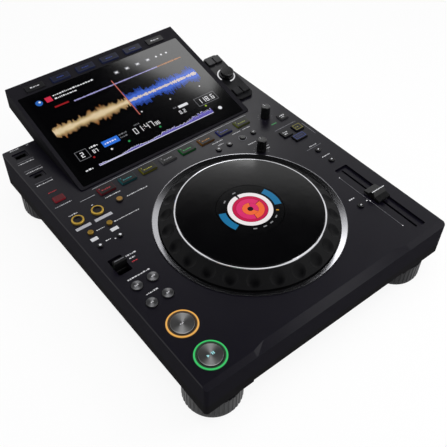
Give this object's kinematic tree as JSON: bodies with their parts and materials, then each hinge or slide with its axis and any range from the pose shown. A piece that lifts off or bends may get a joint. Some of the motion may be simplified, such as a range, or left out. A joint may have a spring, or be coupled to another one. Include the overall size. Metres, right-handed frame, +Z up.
{
  "type": "tabletop media player",
  "caption": "Low tabletop console with a dimpled jog wheel around a round display, a sloping touch display that overhangs the back, a pitch fader, lit keys and tall fluted feet.",
  "frame": {"origin": "middle of the footprint, on the surface that the feet stand on", "axes": "+X to the user's right, +Y away from the user towards the display and sockets, +Z up"},
  "size_m": [0.329, 0.453, 0.1174],
  "materials": {
    "case": "dark charcoal fine-textured plastic",
    "feet": "fluted dark grey",
    "silver_ring": "satin, turned",
    "spindle": "turned",
    "jog_display": "lit display under a black lens",
    "platter": "dimpled, satin",
    "top_plate": "polished black",
    "chrome_trim": "polished",
    "bezel": "satin",
    "display_glass": "clear black glass over a lit display",
    "display_panel": "display panel",
    "sockets": "plated sheet",
    "gold_sockets": "plated",
    "black_socket": "moulded",
    "back_panel": "powder coated",
    "board": "circuit board",
    "supply_can": "sheet",
    "fader_frame": "sheet",
    "light_ring": "lit translucent lens",
    "screws": "black zinc",
    "button_metal": "brushed in circles",
    "gold_button": "lit ring",
    "small_button": "satin",
    "cue_key": "lit translucent key",
    "display_key": "satin",
    "pod_key": "satin grey",
    "knob": "fluted soft-touch",
    "lever": "satin",
    "fader_cap": "satin with a light line",
    "red_key": "lit red"
  },
  "bodies": {
    "console": {"bottom_case": "case", "top_case": "case", "feet": "feet", "jog_well_ring": "silver_ring", "jog_spindle": "spindle", "jog_display": "jog_display", "screen_bezel": "bezel", "screen_back_cover": "bezel", "screen_glass": "display_glass", "lcd_module": "display_panel", "browse_pod": "bezel", "media_sockets": "sockets", "rear_panel": "back_panel", "rear_jacks": "gold_sockets", "power_inlet": "black_socket", "main_board": "board", "power_supply": "supply_can", "panel_board": "board", "fader_unit": "fader_frame", "light_rings": "light_ring", "case_screws": "screws"},
    "jog_wheel": {"jog_platter": "platter", "jog_top_plate": "top_plate", "jog_trim_ring": "chrome_trim"},
    "tempo_slider": {"tempo_slider": "fader_cap"},
    "play_button": {"play_button": "button_metal"},
    "cue_button": {"cue_button": "button_metal"},
    "track_search_back": {"track_search_back": "button_metal"},
    "track_search_next": {"track_search_next": "button_metal"},
    "search_back": {"search_back": "button_metal"},
    "search_forward": {"search_forward": "button_metal"},
    "loop_in_button": {"loop_in_button": "gold_button"},
    "loop_out_button": {"loop_out_button": "gold_button"},
    "loop_exit_button": {"loop_exit_button": "gold_button"},
    "small_buttons_left": {"small_buttons_left": "small_button"},
    "small_buttons_right": {"small_buttons_right": "small_button"},
    "hot_cue_1": {"hot_cue_1": "cue_key"},
    "hot_cue_2": {"hot_cue_2": "cue_key"},
    "hot_cue_3": {"hot_cue_3": "cue_key"},
    "hot_cue_4": {"hot_cue_4": "cue_key"},
    "hot_cue_5": {"hot_cue_5": "cue_key"},
    "hot_cue_6": {"hot_cue_6": "cue_key"},
    "hot_cue_7": {"hot_cue_7": "cue_key"},
    "hot_cue_8": {"hot_cue_8": "cue_key"},
    "sync_keys": {"sync_keys": "cue_key"},
    "master_key": {"master_key": "cue_key"},
    "side_key": {"side_key": "red_key"},
    "screen_key_1": {"screen_key_1": "display_key"},
    "screen_key_2": {"screen_key_2": "display_key"},
    "screen_key_3": {"screen_key_3": "display_key"},
    "screen_key_4": {"screen_key_4": "display_key"},
    "screen_key_5": {"screen_key_5": "display_key"},
    "screen_key_6": {"screen_key_6": "display_key"},
    "browse_keys": {"browse_keys": "pod_key"},
    "browse_shaft": {"browse_shaft": "spindle"},
    "browse_knob": {"browse_knob": "knob"},
    "jog_adjust_knob": {"jog_adjust_knob": "knob"},
    "touch_adjust_knob": {"touch_adjust_knob": "knob"},
    "direction_lever": {"direction_lever": "lever"},
    "power_button": {"power_button": "small_button"}
  },
  "joints": [
    {"name": "jog_turn", "type": "hinge", "parent": "console", "child": "jog_wheel", "pos_m": [0, -0.09051, 0.077], "axis": [0, 0, 1], "continuous": true},
    {"name": "tempo_slide", "type": "slide", "parent": "console", "child": "tempo_slider", "axis": [0, 1, 0], "range_m": [-0.0525, 0.0475]},
    {"name": "play_button_press", "type": "slide", "parent": "console", "child": "play_button", "axis": [0, 0, -1], "range_m": [0, 0.0008], "stiffness_N_per_m": 1200, "springref_m": -0.0004},
    {"name": "cue_button_press", "type": "slide", "parent": "console", "child": "cue_button", "axis": [0, 0, -1], "range_m": [0, 0.0008], "stiffness_N_per_m": 1200, "springref_m": -0.0004},
    {"name": "track_search_back_press", "type": "slide", "parent": "console", "child": "track_search_back", "axis": [0, 0, -1], "range_m": [0, 0.0008], "stiffness_N_per_m": 1200, "springref_m": -0.0004},
    {"name": "track_search_next_press", "type": "slide", "parent": "console", "child": "track_search_next", "axis": [0, 0, -1], "range_m": [0, 0.0008], "stiffness_N_per_m": 1200, "springref_m": -0.0004},
    {"name": "search_back_press", "type": "slide", "parent": "console", "child": "search_back", "axis": [0, 0, -1], "range_m": [0, 0.0008], "stiffness_N_per_m": 1200, "springref_m": -0.0004},
    {"name": "search_forward_press", "type": "slide", "parent": "console", "child": "search_forward", "axis": [0, 0, -1], "range_m": [0, 0.0008], "stiffness_N_per_m": 1200, "springref_m": -0.0004},
    {"name": "loop_in_button_press", "type": "slide", "parent": "console", "child": "loop_in_button", "axis": [0, 0, -1], "range_m": [0, 0.0008], "stiffness_N_per_m": 1200, "springref_m": -0.0004},
    {"name": "loop_out_button_press", "type": "slide", "parent": "console", "child": "loop_out_button", "axis": [0, 0, -1], "range_m": [0, 0.0008], "stiffness_N_per_m": 1200, "springref_m": -0.0004},
    {"name": "loop_exit_button_press", "type": "slide", "parent": "console", "child": "loop_exit_button", "axis": [0, 0, -1], "range_m": [0, 0.0008], "stiffness_N_per_m": 1200, "springref_m": -0.0004},
    {"name": "small_buttons_left_press", "type": "slide", "parent": "console", "child": "small_buttons_left", "axis": [0, 0, -1], "range_m": [0, 0.0008], "stiffness_N_per_m": 1200, "springref_m": -0.0004},
    {"name": "small_buttons_right_press", "type": "slide", "parent": "console", "child": "small_buttons_right", "axis": [0, 0, -1], "range_m": [0, 0.0008], "stiffness_N_per_m": 1200, "springref_m": -0.0004},
    {"name": "hot_cue_1_press", "type": "slide", "parent": "console", "child": "hot_cue_1", "axis": [0, 0, -1], "range_m": [0, 0.0008], "stiffness_N_per_m": 1200, "springref_m": -0.0004},
    {"name": "hot_cue_2_press", "type": "slide", "parent": "console", "child": "hot_cue_2", "axis": [0, 0, -1], "range_m": [0, 0.0008], "stiffness_N_per_m": 1200, "springref_m": -0.0004},
    {"name": "hot_cue_3_press", "type": "slide", "parent": "console", "child": "hot_cue_3", "axis": [0, 0, -1], "range_m": [0, 0.0008], "stiffness_N_per_m": 1200, "springref_m": -0.0004},
    {"name": "hot_cue_4_press", "type": "slide", "parent": "console", "child": "hot_cue_4", "axis": [0, 0, -1], "range_m": [0, 0.0008], "stiffness_N_per_m": 1200, "springref_m": -0.0004},
    {"name": "hot_cue_5_press", "type": "slide", "parent": "console", "child": "hot_cue_5", "axis": [0, 0, -1], "range_m": [0, 0.0008], "stiffness_N_per_m": 1200, "springref_m": -0.0004},
    {"name": "hot_cue_6_press", "type": "slide", "parent": "console", "child": "hot_cue_6", "axis": [0, 0, -1], "range_m": [0, 0.0008], "stiffness_N_per_m": 1200, "springref_m": -0.0004},
    {"name": "hot_cue_7_press", "type": "slide", "parent": "console", "child": "hot_cue_7", "axis": [0, 0, -1], "range_m": [0, 0.0008], "stiffness_N_per_m": 1200, "springref_m": -0.0004},
    {"name": "hot_cue_8_press", "type": "slide", "parent": "console", "child": "hot_cue_8", "axis": [0, 0, -1], "range_m": [0, 0.0008], "stiffness_N_per_m": 1200, "springref_m": -0.0004},
    {"name": "sync_keys_press", "type": "slide", "parent": "console", "child": "sync_keys", "axis": [0, 0, -1], "range_m": [0, 0.0008], "stiffness_N_per_m": 1200, "springref_m": -0.0004},
    {"name": "master_key_press", "type": "slide", "parent": "console", "child": "master_key", "axis": [0, 0, -1], "range_m": [0, 0.0008], "stiffness_N_per_m": 1200, "springref_m": -0.0004},
    {"name": "side_key_press", "type": "slide", "parent": "console", "child": "side_key", "axis": [0, 0, -1], "range_m": [0, 0.0008], "stiffness_N_per_m": 1200, "springref_m": -0.0004},
    {"name": "screen_key_1_press", "type": "slide", "parent": "console", "child": "screen_key_1", "axis": [0, 0.225, -0.9744], "range_m": [0, 0.0008], "stiffness_N_per_m": 1200, "springref_m": -0.0004},
    {"name": "screen_key_2_press", "type": "slide", "parent": "console", "child": "screen_key_2", "axis": [0, 0.225, -0.9744], "range_m": [0, 0.0008], "stiffness_N_per_m": 1200, "springref_m": -0.0004},
    {"name": "screen_key_3_press", "type": "slide", "parent": "console", "child": "screen_key_3", "axis": [0, 0.225, -0.9744], "range_m": [0, 0.0008], "stiffness_N_per_m": 1200, "springref_m": -0.0004},
    {"name": "screen_key_4_press", "type": "slide", "parent": "console", "child": "screen_key_4", "axis": [0, 0.225, -0.9744], "range_m": [0, 0.0008], "stiffness_N_per_m": 1200, "springref_m": -0.0004},
    {"name": "screen_key_5_press", "type": "slide", "parent": "console", "child": "screen_key_5", "axis": [0, 0.225, -0.9744], "range_m": [0, 0.0008], "stiffness_N_per_m": 1200, "springref_m": -0.0004},
    {"name": "screen_key_6_press", "type": "slide", "parent": "console", "child": "screen_key_6", "axis": [0, 0.225, -0.9744], "range_m": [0, 0.0008], "stiffness_N_per_m": 1200, "springref_m": -0.0004},
    {"name": "browse_keys_press", "type": "slide", "parent": "console", "child": "browse_keys", "axis": [0, 0.225, -0.9744], "range_m": [0, 0.0008], "stiffness_N_per_m": 1200, "springref_m": -0.0004},
    {"name": "browse_push", "type": "slide", "parent": "console", "child": "browse_shaft", "axis": [0, 0.225, -0.9744], "range_m": [0, 0.0008], "stiffness_N_per_m": 1200, "springref_m": -0.0004},
    {"name": "browse_turn", "type": "hinge", "parent": "browse_shaft", "child": "browse_knob", "pos_m": [0.1366, 0.12087, 0.0899], "axis": [0, -0.225, 0.9744], "continuous": true},
    {"name": "jog_adjust_turn", "type": "hinge", "parent": "console", "child": "jog_adjust_knob", "pos_m": [0.084, -0.01251, 0.077], "axis": [0, 0, 1], "range_deg": [-140, 140]},
    {"name": "touch_adjust_turn", "type": "hinge", "parent": "console", "child": "touch_adjust_knob", "pos_m": [0.13, 0.03349, 0.077], "axis": [0, 0, 1], "range_deg": [-140, 140]},
    {"name": "direction_tilt", "type": "hinge", "parent": "console", "child": "direction_lever", "pos_m": [-0.146, -0.06051, 0.07], "axis": [1, 0, 0], "range_deg": [-14, 14]},
    {"name": "power_press", "type": "slide", "parent": "console", "child": "power_button", "axis": [0, -1, 0], "range_m": [0, 0.0015], "stiffness_N_per_m": 1200, "springref_m": -0.0004}
  ]
}
